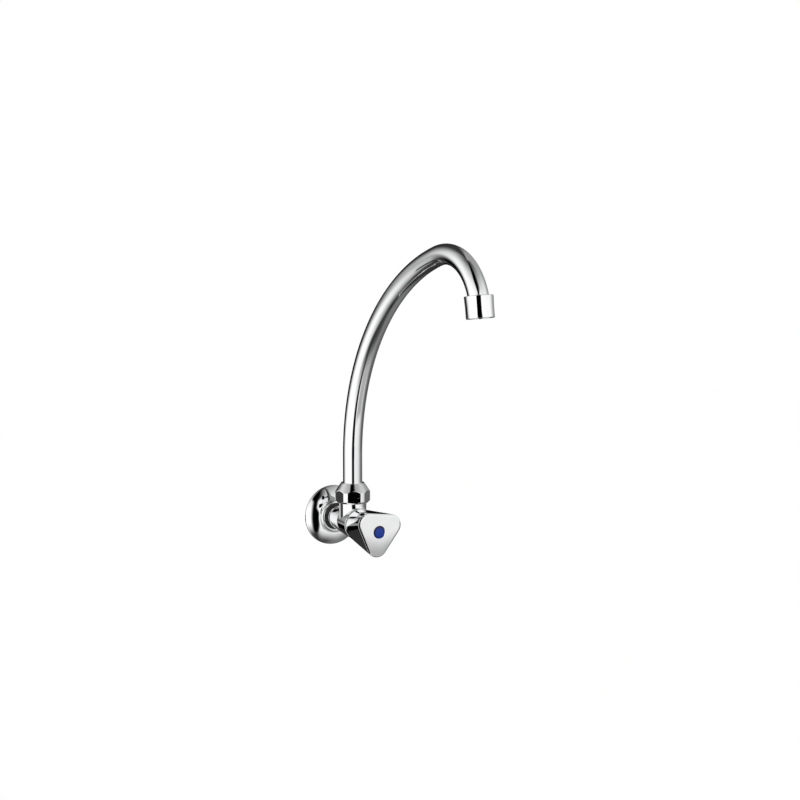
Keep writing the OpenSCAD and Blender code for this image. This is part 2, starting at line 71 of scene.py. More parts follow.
# %% [markdown]
# ## Places
# Sizes are written in millimetres, as on a drawing. S is a distance out from the wall, Z a height, R a
# radius. Three frames place everything: one turns a height into a distance out from the wall, one stands on
# the spout's upright axis, and one sits at the outlet. The spout's centre line is an upright foot, a long
# bend and a short bend, and the outlet sits just past the end of the short one.

# %% Sizes and places
MM = 0.001
SPOUT_S, SPOUT_TURN_DEG = 44.6, 5
TUBE_R, TUBE_WALL, TUBE_FOOT_Z = 9, 1, 36.7
RISE_Z, RISE_R, RISE_DEG = 63, 200, 72.75
TIP_R, TIP_DEG = 48, 99
SLEEVE_BELOW_TUBE = 10.5


def shift(x, y, z):
    """A move in millimetres."""
    return Matrix.Translation((x * MM, y * MM, z * MM))


def turn(degrees, axis):
    """A turn about an axis through the origin."""
    return Matrix.Rotation(math.radians(degrees), 4, axis)


def bend_spoke(degrees):
    """The direction from the centre of a bend to the tube, once the bend has gone so far."""
    return Vector((0, math.cos(math.radians(degrees)), math.sin(math.radians(degrees))))


out_from_wall = turn(90, "X")
at_spout = shift(0, -SPOUT_S, 0) @ turn(SPOUT_TURN_DEG, "Z")
rise_centre = Vector((0, -RISE_R, RISE_Z))
tip_centre = rise_centre + (RISE_R - TIP_R) * bend_spoke(RISE_DEG)
end_deg = RISE_DEG + TIP_DEG
tube_end = tip_centre + TIP_R * bend_spoke(end_deg)
at_outlet = at_spout @ shift(*tube_end) @ turn(end_deg - 180, "X") @ shift(0, 0, -SLEEVE_BELOW_TUBE)
print("outlet at", [round(v / MM, 1) for v in at_outlet.translation])

# %% [markdown]
# ## Shape helpers
# Nearly all of a tap comes off a lathe, so the main tool is an outline that is spun round an axis. Real
# edges are never sharp: `rounded` puts a small radius on any corner of an outline, and that thin round is
# what catches the light. What isn't round, such as the handle, is a skin lofted over a stack of rings.
# `piece` does the same last steps for each part: it places the mesh, shades it smooth except at real edges,
# gives it a finish, hangs it on an empty for the moving body that carries it and hides the CAD parts it stands
# in for.

# %% Shape helpers
MERGE_WITHIN = 1e-7


def rounded(corners, steps=5):
    """An outline through (radius, height) corners. A third number is the radius that rounds the corner."""
    outline = []
    for i, (r, z, *radius) in enumerate(corners):
        here = Vector((r, z))
        if not radius:
            outline.append(here)
            continue
        back = (Vector(corners[i - 1][:2]) - here).normalized()
        ahead = (Vector(corners[(i + 1) % len(corners)][:2]) - here).normalized()
        half = back.angle(ahead) / 2
        centre = here + (back + ahead).normalized() * radius[0] / math.sin(half)
        start = (here + back * radius[0] / math.tan(half) - centre).normalized()
        end = (here + ahead * radius[0] / math.tan(half) - centre).normalized()
        outline += [centre + start.slerp(end, k / steps) * radius[0] for k in range(steps + 1)]
    return outline


def finer(outline, step):
    """The same closed outline with no edge longer than a step."""
    made = []
    for here, after in zip(outline, outline[1:] + outline[:1]):
        parts = max(1, math.ceil((Vector(after) - Vector(here)).length / step))
        made += [Vector(here).lerp(Vector(after), k / parts) for k in range(parts)]
    return made


def turned(outline, steps=192, closed=True):
    """Spins an outline round Z. One that isn't closed starts and ends on the axis."""
    bm = bmesh.new()
    points = [bm.verts.new((r * MM, 0, z * MM)) for r, z in outline]
    after = points[1:] + points[:1] if closed else points[1:]
    edges = [bm.edges.new(pair) for pair in zip(points, after)]
    bmesh.ops.spin(bm, geom=points + edges, cent=(0, 0, 0), axis=(0, 0, 1), angle=2 * math.pi,
                   steps=steps, use_merge=True)
    bmesh.ops.remove_doubles(bm, verts=bm.verts, dist=MERGE_WITHIN)
    bmesh.ops.recalc_face_normals(bm, faces=bm.faces)
    return bm


def loft(rings):
    """A closed skin over rings of as many points each. The last ring joins the first."""
    bm = bmesh.new()
    loops = []
    for ring in rings:
        loops.append([bm.verts.new(Vector(p) * MM) for p in ring])
    for low, high in zip(loops, loops[1:] + loops[:1]):
        for a, b, c, d in zip(low, low[1:] + low[:1], high[1:] + high[:1], high):
            bm.faces.new((a, b, c, d))
    bmesh.ops.remove_doubles(bm, verts=bm.verts, dist=MERGE_WITHIN)
    bmesh.ops.recalc_face_normals(bm, faces=bm.faces)
    return bm


def placed(bm, place):
    """Moves and turns a whole bmesh."""
    bmesh.ops.transform(bm, matrix=place, verts=bm.verts, space=Matrix())


def joined(*parts):
    """One bmesh with all the parts in it."""
    whole = bmesh.new()
    for part in parts:
        carrier = bpy.data.meshes.new("carrier")
        part.to_mesh(carrier)
        part.free()
        whole.from_mesh(carrier)
        bpy.data.meshes.remove(carrier)
    return whole


def only(kind, geometry):
    """The vertices or the edges out of mixed geometry."""
    return [g for g in geometry if isinstance(g, kind)]


def piece(name, bm, body, slot, nodes, place, sharp_deg=32):
    """Makes a finished piece of a bmesh: placed, smooth but for its sharp edges, and riding on its body."""
    placed(bm, place)
    for face in bm.faces:
        face.smooth = True
    for edge in bm.edges:
        edge.smooth = len(edge.link_faces) == 2 and edge.calc_face_angle() < math.radians(sharp_deg)
    mesh = bpy.data.meshes.new(name)
    bm.to_mesh(mesh)
    bm.free()
    obj = bpy.data.objects.new(name, mesh)
    bpy.context.scene.collection.objects.link(obj)
    mesh.materials.append(finish[slot])
    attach(obj, body)
    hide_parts(*nodes)
    print(f"{name}: {len(mesh.polygons)} faces")
    return obj


# %% [markdown]
# ## Node helpers
# Materials and the studio are both built from shader nodes. Three short helpers keep their recipes readable:
# one adds a node and feeds it, one does arithmetic and one carries a value from one range to another.

# %% Node helpers
def add(tree, kind, *feeds, **settings):
    """Adds a node, sets its options, and feeds its inputs in order with sockets or plain values."""
    node = tree.nodes.new("ShaderNode" + kind)
    for option, value in settings.items():
        setattr(node, option, value)
    for socket, feed in zip(node.inputs, feeds):
        if isinstance(feed, bpy.types.NodeSocket):
            tree.links.new(feed, socket)
        elif feed is not None:
            socket.default_value = feed
    return node


def math_node(tree, operation, *feeds):
    """One step of arithmetic on sockets or plain values."""
    return add(tree, "Math", *feeds, operation=operation).outputs[0]


def ramp(tree, feed, low, high, to_low, to_high):
    """Carries a value smoothly from one range to another."""
    return add(tree, "MapRange", feed, low, high, to_low, to_high, interpolation_type="SMOOTHSTEP").outputs[0]


# %% [markdown]
# ## Marks of making and use
# Even new metal isn't even: plating pools a little, castings are polished by hand, and wiping leaves faint
# patches. One node group makes two values from noise that every finish shares: broad patches and a fine
# grain. It could be copied into each material, but a group is written once and tuned in one place.

# %% Marks
PATCH_DETAIL, PATCH_ROUGHNESS = 4, 0.6
GRAIN_DETAIL, GRAIN_ROUGHNESS = 2, 0.5
marks = bpy.data.node_groups.new("surface_marks", "ShaderNodeTree")
for name, value in (("Patches per metre", 60), ("Grains per metre", 3000)):
    marks.interface.new_socket(name, in_out="INPUT", socket_type="NodeSocketFloat").default_value = value
for name in ("Patches", "Grain"):
    marks.interface.new_socket(name, in_out="OUTPUT", socket_type="NodeSocketFloat")
group_in, group_out = marks.nodes.new("NodeGroupInput"), marks.nodes.new("NodeGroupOutput")
spot = add(marks, "TexCoord").outputs["Object"]
patches = add(marks, "TexNoise", spot, None, group_in.outputs[0], PATCH_DETAIL, PATCH_ROUGHNESS)
grain = add(marks, "TexNoise", spot, None, group_in.outputs[1], GRAIN_DETAIL, GRAIN_ROUGHNESS)
marks.links.new(patches.outputs[0], group_out.inputs[0])
marks.links.new(grain.outputs[0], group_out.inputs[1])
print("marks:", [socket.name for socket in marks.interface.items_tree])

# %% [markdown]
# ## Finishes
# Chrome plate is a metal with a slightly cool grey colour and almost no roughness, so its look comes from
# what it mirrors. Machined brass is rougher, nylon and rubber aren't metals at all. Each finish takes the
# same recipe with its own numbers: the patches shift the colour and the roughness, and the grain feeds a
# very shallow bump. Noise keeps to the middle of its range, so that middle is what gets stretched.

# %% Finishes
COLOUR_NOISE, ROUGHNESS_NOISE = (0.35, 0.65), (0.3, 0.7)
finish = {}


def material(slot, name, dark, light, roughness, patch, grain, bump, metallic=0, **constants):
    """A finish whose colour and roughness wander in patches, with a fine grain on its surface."""
    mat = bpy.data.materials.new(name)
    mat.use_nodes = True
    tree = mat.node_tree
    shader = tree.nodes["Principled BSDF"]
    shader.inputs["Metallic"].default_value = metallic
    for socket, value in constants.items():
        shader.inputs[socket.replace("_", " ")].default_value = value
    worn = tree.nodes.new("ShaderNodeGroup")
    worn.node_tree = marks
    worn.inputs[0].default_value, worn.inputs[1].default_value = patch, grain
    colour = add(tree, "Mix", data_type="RGBA")
    tree.links.new(ramp(tree, worn.outputs[0], *COLOUR_NOISE, 0, 1), colour.inputs["Factor"])
    colour.inputs[6].default_value, colour.inputs[7].default_value = (*dark, 1), (*light, 1)
    tree.links.new(colour.outputs[2], shader.inputs["Base Color"])
    tree.links.new(ramp(tree, worn.outputs[0], *ROUGHNESS_NOISE, *roughness), shader.inputs["Roughness"])
    relief = add(tree, "Bump", 1, bump * MM, None, worn.outputs[1])
    tree.links.new(relief.outputs[0], shader.inputs["Normal"])
    finish[slot] = mat
    return mat


material("chrome", "polished_chrome", dark=(0.84, 0.845, 0.85), light=(0.88, 0.883, 0.885),
         roughness=(0.015, 0.035), patch=45, grain=900, bump=0.0002, metallic=1)
material("brass", "machined_brass", dark=(0.62, 0.43, 0.17), light=(0.80, 0.60, 0.28),
         roughness=(0.22, 0.34), patch=120, grain=4000, bump=0.004, metallic=1)
material("rubber", "black_rubber", dark=(0.012, 0.012, 0.013), light=(0.03, 0.03, 0.032),
         roughness=(0.5, 0.7), patch=150, grain=5000, bump=0.02)
material("nylon", "moulded_nylon", dark=(0.78, 0.76, 0.70), light=(0.86, 0.85, 0.80),
         roughness=(0.35, 0.5), patch=90, grain=3000, bump=0.005)
material("steel", "turned_steel", dark=(0.55, 0.56, 0.58), light=(0.68, 0.69, 0.71),
         roughness=(0.2, 0.34), patch=120, grain=5000, bump=0.003, metallic=1)
material("fibre", "grey_fibre", dark=(0.03, 0.03, 0.032), light=(0.06, 0.06, 0.062),
         roughness=(0.7, 0.85), patch=700, grain=6000, bump=0.03)
material("blue", "blue_plastic", dark=(0.010, 0.034, 0.24), light=(0.014, 0.042, 0.28),
         roughness=(0.12, 0.2), patch=200, grain=4000, bump=0.002, Specular_IOR_Level=0.15)
print("finishes:", ", ".join(finish))

# %% [markdown]
# ## Painted shade at the edge of the blue
# The index disc's blue is painted deeper towards its edge, where the plastic curves away: this is painted
# shade, standing in for the dark that the curved edge mirrors. That could be painted as a picture, but the disc
# is round, so the distance from the handle's axis is all it takes: two Object coordinates, squared, added and
# rooted, choose between the blue and a deep blue of painted shade. Then each CAD part gets the finish that its
# own record names.

# %% Blue edge with painted shade
# Painted shade: from the first radius out to the second, the blue turns into a deep blue.
SHADE_FROM_R, SHADE_TO_R, PAINTED_SHADE_BLUE = 3.6, 5.2, (0.005, 0.010, 0.07, 1)
blue = finish["blue"].node_tree
x, _, z = add(blue, "SeparateXYZ", add(blue, "TexCoord").outputs["Object"]).outputs
squares = [math_node(blue, "MULTIPLY", side, side) for side in (x, z)]
from_axis = math_node(blue, "SQRT", math_node(blue, "ADD", *squares))
base_colour = blue.nodes["Principled BSDF"].inputs["Base Color"]
# Painted shade: this mix turns the blue deeper towards the disc's edge.
painted_shade = add(blue, "Mix", data_type="RGBA")
blue.links.new(ramp(blue, from_axis, SHADE_FROM_R * MM, SHADE_TO_R * MM, 0, 1), painted_shade.inputs["Factor"])
blue.links.new(base_colour.links[0].from_socket, painted_shade.inputs[6])
painted_shade.inputs[7].default_value = PAINTED_SHADE_BLUE
blue.links.new(painted_shade.outputs[2], base_colour)
for part in frame["record"]["subparts"]:
    mesh = frame["nodes"][part["node"]].data
    mesh.materials.clear()
    mesh.materials.append(finish[part["material_slot"]])

# %% [markdown]
# ## The swan-neck tube
# The spout is one brass tube of 18 mm, bent twice on a bending machine and then plated. A curve with a round
# bevel would do for a picture, but it has no wall and its end would be a paper edge. Here a ring with an
# inside and an outside is lifted straight up, then spun about the centre of the long bend and about that of
# the short bend, just as the bender wraps the tube round its former.

# %% Tube
TUBE_SIDES, BEND_STEPS = 96, 96
tube = bmesh.new()
circles = []
for radius in (TUBE_R, TUBE_R - TUBE_WALL):
    circles += bmesh.ops.create_circle(tube, segments=TUBE_SIDES, radius=radius * MM,
                                       matrix=shift(0, 0, TUBE_FOOT_Z))["verts"]
foot = list({e for v in circles for e in v.link_edges})
bmesh.ops.bridge_loops(tube, edges=foot)
lifted = bmesh.ops.extrude_edge_only(tube, edges=foot)["geom"]
bmesh.ops.translate(tube, vec=(0, 0, (RISE_Z - TUBE_FOOT_Z) * MM), verts=only(bmesh.types.BMVert, lifted))
top = [g for g in lifted if not isinstance(g, bmesh.types.BMFace)]
for centre, degrees in ((rise_centre, RISE_DEG), (tip_centre, TIP_DEG)):
    top = bmesh.ops.spin(tube, geom=top, cent=centre * MM, axis=(1, 0, 0), angle=math.radians(degrees),
                         steps=BEND_STEPS)["geom_last"]
bmesh.ops.bridge_loops(tube, edges=only(bmesh.types.BMEdge, top))
bmesh.ops.recalc_face_normals(tube, faces=tube.faces)
piece("swan_neck_tube", tube, "spout", "chrome", ["spout_tube"], at_spout)

# %% [markdown]
# ## The rosette
# The cover plate is pressed from thin sheet: a bead grips the ring round the barrel, a gentle crown runs out
# from it, and a tighter shoulder turns down to a short upright rim on the wall. Two arcs that meet with the
# same slope make that curve. In a mirror finish a break in the slope would show as a kink in every
# reflection, so the arcs are computed instead of drawn by eye. The inside follows 1 mm lower.

# %% Rosette
ROSETTE_R, ROSETTE_H, ROSETTE_HOLE_R, ROSETTE_SHEET = 28.5, 10, 12.398, 1
COLLAR_LEN, BEAD_R, BEAD_H, BEAD_FLANK = 3.8, 15.2, 1.73, 0.4
BEAD_IN_ROUND, BEAD_OUT_ROUND, BEAD_FOOT_ROUND, RIM_ROUND = 0.9, 1.1, 0.7, 2
KNEE_R, CROWN_DEG, KNEE_DEG, EDGE_DEG = 18, 8, 18, 41
CROWN_STEPS, SHOULDER_STEPS, CORNER_STEPS = 16, 32, 8
END_STEPS = 5
ROSETTE_STEPS = 256


def arc(start, from_deg, to_deg, to_r, steps):
    """Points of an arc that goes from a start to a radius while its slope turns from one angle to another."""
    low, high = math.radians(from_deg), math.radians(to_deg)
    bend = (to_r - start[0]) / (math.sin(high) - math.sin(low))
    made = []
    for k in range(1, steps + 1):
        a = low + (high - low) * k / steps
        made.append((start[0] + bend * (math.sin(a) - math.sin(low)),
                     start[1] + bend * (math.cos(a) - math.cos(low))))
    return made


def dish(hole_r, edge_r, top):
    """The rosette's curve from its hole to its edge: a gentle crown, then a tighter shoulder."""
    crown = [(hole_r, top), *arc((hole_r, top), CROWN_DEG, KNEE_DEG, KNEE_R, CROWN_STEPS)]
    return crown + arc(crown[-1], KNEE_DEG, EDGE_DEG, edge_r, SHOULDER_STEPS)


outside = dish(BEAD_R, ROSETTE_R, ROSETTE_H - BEAD_H)
inside = dish(BEAD_R, ROSETTE_R - ROSETTE_SHEET, ROSETTE_H - BEAD_H - ROSETTE_SHEET)
collar_foot = ROSETTE_H - COLLAR_LEN
bead = rounded([(ROSETTE_HOLE_R, collar_foot), (ROSETTE_HOLE_R, ROSETTE_H, BEAD_IN_ROUND),
                (BEAD_R - BEAD_FLANK, ROSETTE_H, BEAD_OUT_ROUND), (*outside[0], BEAD_FOOT_ROUND),
                outside[END_STEPS - 1]], CORNER_STEPS)
edge = rounded([outside[-END_STEPS], (*outside[-1], RIM_ROUND), (ROSETTE_R, 0)], CORNER_STEPS)
outline = [*bead, *outside[END_STEPS:-END_STEPS], *edge, (ROSETTE_R - ROSETTE_SHEET, 0), *inside[::-1][1:],
           (ROSETTE_HOLE_R + ROSETTE_SHEET, inside[0][1]), (ROSETTE_HOLE_R + ROSETTE_SHEET, collar_foot)]
print("height of the rosette's edge", round(outside[-1][1], 2), "outside,", round(inside[-1][1], 2), "inside")
piece("rosette_plate", turned(outline, ROSETTE_STEPS), "tap", "chrome", ["wall_rosette"], out_from_wall)

# %% [markdown]
# ## The barrel
# The body is cast in brass: a barrel that widens from the wall to the front, and an upright neck that
# carries the spout. The barrel is turned from one outline, bores and valve seat included, as a lathe would
# cut them. It could be a stack of cylinders joined by booleans, but one outline leaves no seams.

# %% Barrel
TAIL_S, TAIL_R, TAIL_BORE_R, EDGE_ROUND = -16, 9.1, 6.5, 0.3
THREAD_ROOT_R, THREAD_FROM_S, BARREL_BACK_S = 9.32, -15, 1
BARREL_BACK_R, BARREL_STRAIGHT_S, BARREL_BLEND_R = 10.698, 11, 12
BARREL_FRONT_R, FRONT_S, FRONT_ROUND = 14.7, 57.8, 0.5
MOUTH_R, MOUTH_S, CHAMBER_R, CHAMBER_S = 10.5, 48, 9.3, 25.5
SEAT_R, SEAT_S, SEAT_HOLE_R, SEAT_BACK_S = 7.2, 27, 5.5, 22.5
barrel = turned(rounded([
    (TAIL_BORE_R, TAIL_S, EDGE_ROUND), (TAIL_R, TAIL_S, EDGE_ROUND), (THREAD_ROOT_R, THREAD_FROM_S),
    (THREAD_ROOT_R, BARREL_BACK_S), (BARREL_BACK_R, BARREL_BACK_S, EDGE_ROUND),
    (BARREL_BACK_R, BARREL_STRAIGHT_S, BARREL_BLEND_R), (BARREL_FRONT_R, FRONT_S, FRONT_ROUND),
    (MOUTH_R, FRONT_S, EDGE_ROUND), (MOUTH_R, MOUTH_S), (CHAMBER_R, MOUTH_S), (CHAMBER_R, CHAMBER_S),
    (SEAT_R, CHAMBER_S), (SEAT_R, SEAT_S, EDGE_ROUND), (SEAT_HOLE_R, SEAT_S, EDGE_ROUND),
    (SEAT_HOLE_R, SEAT_BACK_S), (TAIL_BORE_R, SEAT_BACK_S)]))
placed(barrel, out_from_wall)
print("barrel:", len(barrel.faces), "faces")

# %% [markdown]
# ## The neck
# The neck meets the barrel in a saddle curve with a fillet, as every casting has. A boolean with a bevel
# tends to leave slivers there, so the fillet is lofted: imagine a small ball that rolls round the neck while
# it touches the barrel. Each ring of the fillet lies on that ball. What would stand out past the barrel's
# front is cut off flat.

# %% Neck
NECK_R, NECK_BORE_R, SOCKET_R = 12.75, 5.8, 9.55
NECK_BORE_Z, SOCKET_Z, NECK_LOW_Z, NECK_TOP_Z, NECK_CHAMFER = 12, 14.6, 20, 31, 0.4
FILLET_R, FILLET_DIP, FILLET_STEPS, NECK_SIDES = 1.6, 0.02, 8, 192
BEHIND_FRONT = 0.02
barrel_slope = math.atan((BARREL_FRONT_R - BARREL_BACK_R) / (FRONT_S - BARREL_STRAIGHT_S))
around = [2 * math.pi * i / NECK_SIDES for i in range(NECK_SIDES)]


def barrel_radius(s):
    """The radius of the barrel's taper at a distance from the wall."""
    return BARREL_BACK_R + (s - BARREL_STRAIGHT_S) * math.tan(barrel_slope)


def neck_ring(r, z):
    """A level ring round the spout's axis."""
    return [(r * math.sin(a), -SPOUT_S - r * math.cos(a), z) for a in around]


def fillet_ring(share):
    """A ring of the fillet on the rolling ball. The share goes from the neck to the barrel."""
    ring = []
    for a in around:
        x, s = (NECK_R + FILLET_R) * math.sin(a), SPOUT_S + (NECK_R + FILLET_R) * math.cos(a)
        height = math.sqrt((barrel_radius(s) + FILLET_R / math.cos(barrel_slope)) ** 2 - x ** 2)
        ball = Vector((x, -s, height))
        to_neck = Vector((-math.sin(a), math.cos(a), 0))
        to_barrel = -Vector((x, 0, height)).normalized() * math.cos(barrel_slope)
        to_barrel.y = -math.sin(barrel_slope)
        ring.append(ball + to_neck.slerp(to_barrel, share) * (FILLET_R + FILLET_DIP * share))
    return ring


neck = loft([neck_ring(NECK_BORE_R, NECK_BORE_Z), neck_ring(NECK_BORE_R, SOCKET_Z),
             neck_ring(SOCKET_R, SOCKET_Z), neck_ring(SOCKET_R, NECK_TOP_Z),
             neck_ring(NECK_R - NECK_CHAMFER, NECK_TOP_Z), neck_ring(NECK_R, NECK_TOP_Z - NECK_CHAMFER),
             neck_ring(NECK_R, NECK_LOW_Z)]
            + [fillet_ring(k / FILLET_STEPS) for k in range(FILLET_STEPS + 1)])
front = bmesh.ops.bisect_plane(neck, geom=neck.verts[:] + neck.edges[:] + neck.faces[:],
                               plane_co=(0, (BEHIND_FRONT - FRONT_S) * MM, 0), plane_no=(0, -1, 0),
                               clear_outer=True)
bmesh.ops.holes_fill(neck, edges=only(bmesh.types.BMEdge, front["geom_cut"]))
print("neck:", len(neck.faces), "faces")

# %% [markdown]
# ## The inlet thread
# Behind the wall the tail carries a half-inch pipe thread. A picture of stripes would lie flat, so the
# thread is a real ridge: its small section is spun about the axis and moved along by one pitch in each turn.
# It is sunk a little into the tail, so that no gap shows at its foot.

# %% Thread
THREAD_R, THREAD_PITCH, THREAD_START_S = 10.47, 1.814, -15.3
THREAD_TURNS, THREAD_STEPS = 7, 96
RIDGE_SUNK, RIDGE_GAP, RIDGE_HALF_CREST = 0.1, 0.25, 0.12
thread = bmesh.new()
ridge = [(THREAD_ROOT_R - RIDGE_SUNK, RIDGE_GAP), (THREAD_R, THREAD_PITCH / 2 - RIDGE_HALF_CREST),
         (THREAD_R, THREAD_PITCH / 2 + RIDGE_HALF_CREST),
         (THREAD_ROOT_R - RIDGE_SUNK, THREAD_PITCH - RIDGE_GAP)]
points = [thread.verts.new((r * MM, 0, (z + THREAD_START_S) * MM)) for r, z in ridge]
edges = [thread.edges.new(pair) for pair in zip(points, points[1:] + points[:1])]
last = bmesh.ops.spin(thread, geom=points + edges, cent=(0, 0, 0), axis=(0, 0, 1),
                      angle=2 * math.pi * THREAD_TURNS, steps=THREAD_STEPS * THREAD_TURNS,
                      dvec=(0, 0, THREAD_PITCH * MM / THREAD_STEPS))["geom_last"]
bmesh.ops.contextual_create(thread, geom=points)
bmesh.ops.contextual_create(thread, geom=only(bmesh.types.BMVert, last))
bmesh.ops.recalc_face_normals(thread, faces=thread.faces)
placed(thread, out_from_wall)
piece("cast_body", joined(barrel, neck, thread), "tap", "chrome", ["tap_body"], Matrix())

# %% [markdown]
# ## The union nut
# A union nut starts as a turned blank with a cone on top and a chamfer below, and six flats are milled on
# it. The same is done here. The blank is spun, then every point that stands out past a flat is drawn in to
# it. Where blank and flat meet, a soft minimum of the two radii leaves a crisp but not razor-sharp edge,
# and the curved lines where the flats run into the cone and the chamfer appear by themselves.

# %% Nut
NUT_FLAT_R, NUT_R, NUT_TURN_DEG, NUT_EDGE = 15.0, 16.25, 249.4, 0.05
NUT_FOOT_Z, NUT_FOOT_R, NUT_CHAMFER_Z, CONE_FOOT_Z = 19.25, 14.2, 21.3, 29.7
CONE_TOP_Z, CONE_TOP_R, CONE_ROUND, CONE_HOLE_R = 37.9, 10.85, 0.35, 9.3
NUT_THREAD_R, NUT_THREAD_Z, NUT_ROOM_R, NUT_ROOM_Z = 12.95, 30.7, 12.0, 35.5
NUT_ROUND, FOOT_ROUND = 0.3, 0.2
NUT_STEPS, NUT_MESH_STEP, MILLED_FROM_R, SOFT_OFFSET, FLAT_DEG = 360, 0.35, 13.5, 10, 60


def soft_least(one, other):
    """The smaller of two radii, with the change from one to the other rounded off."""
    return SOFT_OFFSET - NUT_EDGE * math.log(math.exp((SOFT_OFFSET - one) / NUT_EDGE)
                                             + math.exp((SOFT_OFFSET - other) / NUT_EDGE))


nut = turned(finer(rounded([
    (NUT_THREAD_R, NUT_FOOT_Z), (NUT_FOOT_R, NUT_FOOT_Z, FOOT_ROUND), (NUT_R, NUT_CHAMFER_Z, NUT_ROUND),
    (NUT_R, CONE_FOOT_Z, NUT_ROUND), (CONE_TOP_R, CONE_TOP_Z, CONE_ROUND), (CONE_HOLE_R, CONE_TOP_Z, NUT_ROUND),
    (CONE_HOLE_R, NUT_ROOM_Z), (NUT_ROOM_R, NUT_ROOM_Z), (NUT_ROOM_R, NUT_THREAD_Z),
    (NUT_THREAD_R, NUT_THREAD_Z)]), NUT_MESH_STEP), NUT_STEPS)
for vert in nut.verts:
    r, a = vert.co.xy.length / MM, math.degrees(math.atan2(vert.co.y, vert.co.x))
    off_flat = (a - NUT_TURN_DEG + FLAT_DEG / 2) % FLAT_DEG - FLAT_DEG / 2
    flat = NUT_FLAT_R / math.cos(math.radians(off_flat))
    if r > MILLED_FROM_R:
        vert.co.xy *= soft_least(r, flat) / r
piece("union_nut", nut, "tap", "chrome", ["spout_nut"], shift(0, -SPOUT_S, 0))

# %% [markdown]
# ## The handle
# The handle is a zinc casting whose section changes from a circle at the back to a triangle with round
# corners at the face. Subdivision would soften it everywhere, so it is lofted instead: each ring has three
# arcs, and from ring to ring the arcs move out and grow tighter. A narrow facet runs round the face, and the
# face itself is very slightly domed, which is what spreads its reflection. Inside are the square for the
# spindle, the screw's well and the hollow skirt that hides the headwork.

# %% Handle
HANDLE_TURN_DEG, HANDLE_S, HANDLE_FACE_S, WIDEST_BEHIND_FACE = 7, 59.3, 99.0, 1.9
HANDLE_BACK_R, HANDLE_FLAT, HANDLE_CORNER_R, BACK_ROUND = 14.9, 16.8, 10.2, 0.3
FACET_H, FACET_TOP_IN, EDGE_R, FACE_DOME = 0.7, 2, 0.3, 0.12
FACE_REACH_OUT, FACE_R_IN = 0.6, 1.9
INDEX_R, INDEX_SEAT_S, INDEX_GAP, INDEX_LIP, INDEX_LIP_DROP = 5.5, 94.6, 0.05, 0.5, 0.4
WELL_R, WELL_S, SCREW_HOLE_R, SQUARE_R, SQUARE_TOP_S, SQUARE_S = 4.55, 86, 2.4, 4.97, 84, 74.2
HUB_R, SKIRT_R, SKIRT_TOP_S, SKIRT_FOOT_R = 8, 12.6, 90, 12.9
CORNERS_DEG, ARC_DEG, ARC_STEPS, SIDE_RINGS, EDGE_STEPS = (-90, 30, 150), 120, 40, 16, 8
FACET_SHARES, FACE_SHARES = (0.15, 0.8, 1), (0.04, 0.15, 0.3, 0.45, 0.6, 0.75, 0.9, 1)
corner_reach = 2 * (HANDLE_FLAT - HANDLE_CORNER_R)
spokes = [(corner, corner - ARC_DEG / 2 + ARC_DEG * i / ARC_STEPS)
          for corner in CORNERS_DEG for i in range(ARC_STEPS + 1)]


def handle_ring(s, reach, r):
    """A ring of the handle: three arcs of radius r round corners at a reach from the axis."""
    ring = []
    for corner, a in spokes:
        ring.append((reach * math.cos(math.radians(corner)) + r * math.cos(math.radians(a)),
                     reach * math.sin(math.radians(corner)) + r * math.sin(math.radians(a)), s))
    return ring


hollow = [(INDEX_R, INDEX_SEAT_S), (WELL_R, INDEX_SEAT_S), (WELL_R, WELL_S), (SCREW_HOLE_R, WELL_S),
          (SCREW_HOLE_R, SQUARE_TOP_S), (SQUARE_R, SQUARE_TOP_S), (SQUARE_R, SQUARE_S), (HUB_R, SQUARE_S),
          (HUB_R, SKIRT_TOP_S), (SKIRT_R, SKIRT_TOP_S), (SKIRT_R, HANDLE_S + BACK_ROUND),
          (SKIRT_FOOT_R, HANDLE_S)]
rings = [handle_ring(s, 0, r) for r, s in hollow]
rings.append(handle_ring(HANDLE_S, 0, HANDLE_BACK_R - BACK_ROUND))
widest_s = HANDLE_FACE_S - WIDEST_BEHIND_FACE
for k in range(1, SIDE_RINGS + 1):
    share = k / SIDE_RINGS
    rings.append(handle_ring(HANDLE_S + (widest_s - HANDLE_S) * share, corner_reach * share,
                             HANDLE_BACK_R + (HANDLE_CORNER_R - HANDLE_BACK_R) * share))
rim = rounded([(0, widest_s), (0, HANDLE_FACE_S - FACE_DOME - FACET_H, EDGE_R),
               (FACET_TOP_IN, HANDLE_FACE_S - FACE_DOME)], EDGE_STEPS)
for inset, top in rim[1:-1]:
    rings.append(handle_ring(top, corner_reach, HANDLE_CORNER_R - inset))
facet_in, facet_s = rim[-2]
for share in FACET_SHARES:
    rings.append(handle_ring(facet_s + (HANDLE_FACE_S - FACE_DOME - facet_s) * share,
                             corner_reach + FACE_REACH_OUT * share,
                             HANDLE_CORNER_R - facet_in + (facet_in - FACE_R_IN) * share))
face_reach, face_r = corner_reach + FACE_REACH_OUT, HANDLE_CORNER_R - FACE_R_IN
for share in FACE_SHARES:
    rings.append(handle_ring(HANDLE_FACE_S - FACE_DOME * (1 - share) ** 2, face_reach * (1 - share),
                             face_r + (INDEX_R + INDEX_LIP - face_r) * share))
rings.append(handle_ring(HANDLE_FACE_S - INDEX_LIP_DROP, 0, INDEX_R + INDEX_GAP))
piece("three_sided_handle", loft(rings), "stem", "chrome", ["handle"],
      out_from_wall @ turn(-HANDLE_TURN_DEG, "Z"))
